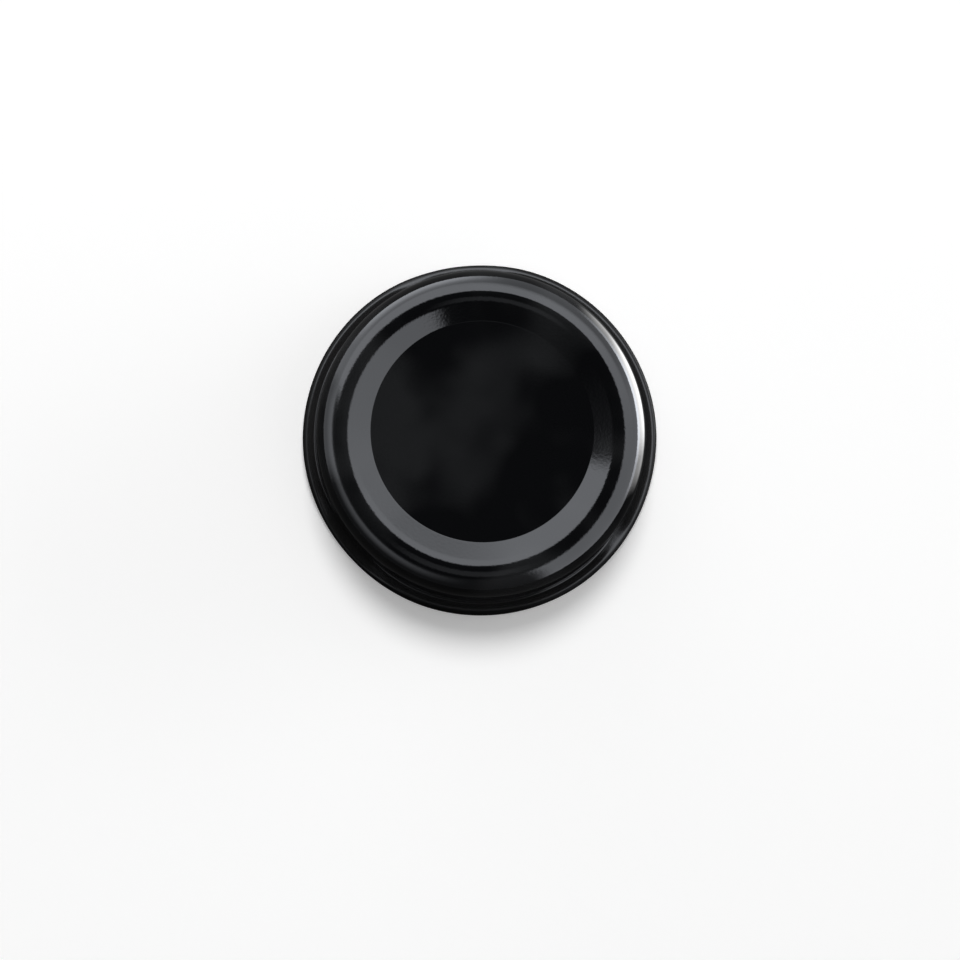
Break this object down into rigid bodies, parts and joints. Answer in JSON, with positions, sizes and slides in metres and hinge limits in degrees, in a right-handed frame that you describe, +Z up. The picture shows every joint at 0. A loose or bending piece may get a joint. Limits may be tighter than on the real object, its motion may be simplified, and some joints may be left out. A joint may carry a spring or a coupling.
{
  "type": "twist-off jar lid",
  "caption": "Pressed tinplate twist-off lid with a sunken top panel, a rolled edge formed into lugs and a flowed-in sealing ring, for closing a glass jar.",
  "frame": {"origin": "on the lid's axis, in the plane that the curled edge rests on", "axes": "+Z up along the lid's axis, out of the closed top; one lug is centred on +X"},
  "size_m": [0.0453, 0.0454, 0.0096],
  "materials": {
    "lacquered_tinplate": "gloss black lacquer with a faint orange-peel",
    "sealing_compound": "satin off-white plastisol"
  },
  "bodies": {
    "root": {"shell": "lacquered_tinplate", "sealing_ring": "sealing_compound"}
  },
  "joints": []
}
